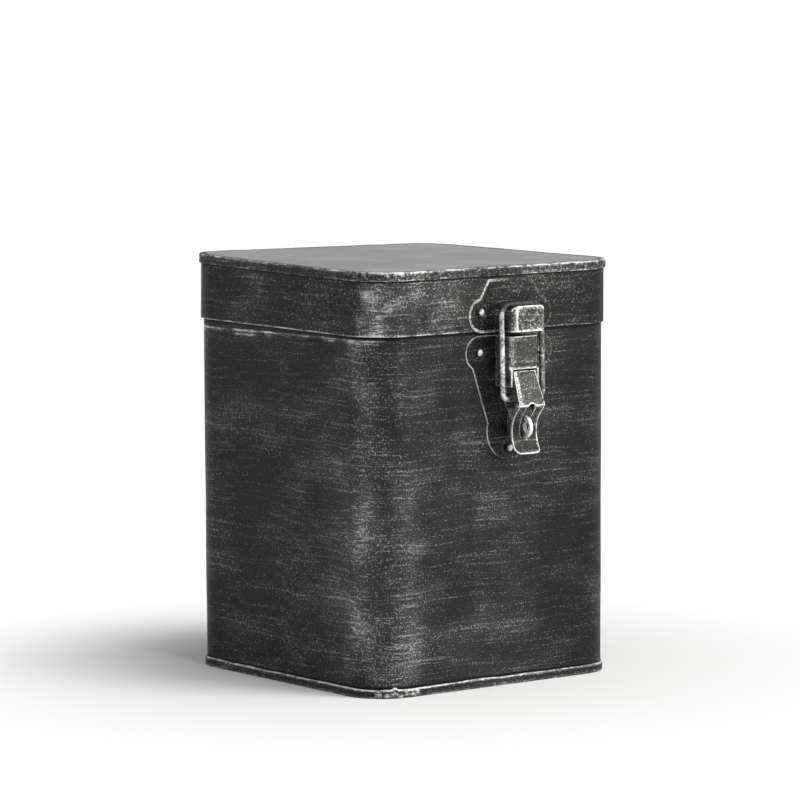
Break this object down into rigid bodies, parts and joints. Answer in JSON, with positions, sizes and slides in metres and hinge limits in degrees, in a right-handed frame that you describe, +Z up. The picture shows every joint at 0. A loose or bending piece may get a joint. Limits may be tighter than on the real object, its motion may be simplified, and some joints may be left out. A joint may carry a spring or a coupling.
{
  "type": "small tin trunk",
  "caption": "Small square sheet-metal trunk with round upright corners, a cap lid on rear hinges and a front toggle latch with a padlock staple.",
  "frame": {"origin": "middle of the flat bottom face of the body, the face that it stands on", "axes": "+Z up through the lid, -Y out of the front that carries the latch, +Y out of the hinged back, +X to the right of the front as seen from the front"},
  "size_m": [0.1542, 0.1735, 0.202],
  "materials": {
    "worn_black_paint": "satin charcoal paint with dry-brushed silver wear",
    "latch_plate_paint": "satin charcoal paint, silver worn edges",
    "latch_press_paint": "worn charcoal paint over steel",
    "hinge_paint": "satin charcoal paint, silver worn edges",
    "rivet_steel": "dull steel, paint in the low places",
    "bail_wire": "bare wire rubbed bright"
  },
  "bodies": {
    "trunk_body": {"bottom_panel": "worn_black_paint", "body_wall": "worn_black_paint", "latch_base_plate": "latch_plate_paint", "latch_bracket": "latch_press_paint", "latch_base_rivets": "rivet_steel", "padlock_staple": "latch_press_paint", "lever_pin": "rivet_steel", "left_hinge_body_leaf": "hinge_paint", "right_hinge_body_leaf": "hinge_paint", "left_hinge_pin": "rivet_steel", "right_hinge_pin": "rivet_steel", "hinge_body_rivets": "rivet_steel"},
    "lid": {"lid_skirt": "worn_black_paint", "lid_top": "worn_black_paint", "strike_plate": "latch_plate_paint", "catch_hook": "latch_press_paint", "strike_rivets": "rivet_steel", "left_hinge_lid_leaf": "hinge_paint", "right_hinge_lid_leaf": "hinge_paint", "hinge_lid_rivets": "rivet_steel"},
    "lever": {"latch_lever": "latch_press_paint"},
    "bail": {"wire_bail": "bail_wire"}
  },
  "joints": [
    {"name": "lid_hinge", "type": "hinge", "parent": "trunk_body", "child": "lid", "pos_m": [0, 0.0784, 0.1713], "axis": [-1, 0, 0], "range_deg": [0, 110]},
    {"name": "lever_pivot", "type": "hinge", "parent": "trunk_body", "child": "lever", "pos_m": [0.006, -0.086, 0.1485], "axis": [-1, 0, 0], "range_deg": [0, 110]},
    {"name": "bail_pivot", "type": "hinge", "parent": "lever", "child": "bail", "pos_m": [0.006, -0.0857, 0.1392], "axis": [-1, 0, 0], "range_deg": [-110, 0]}
  ],
  "couplings": [
    {"joint": "bail_pivot", "follows": "lever_pivot", "ratio": -1}
  ]
}
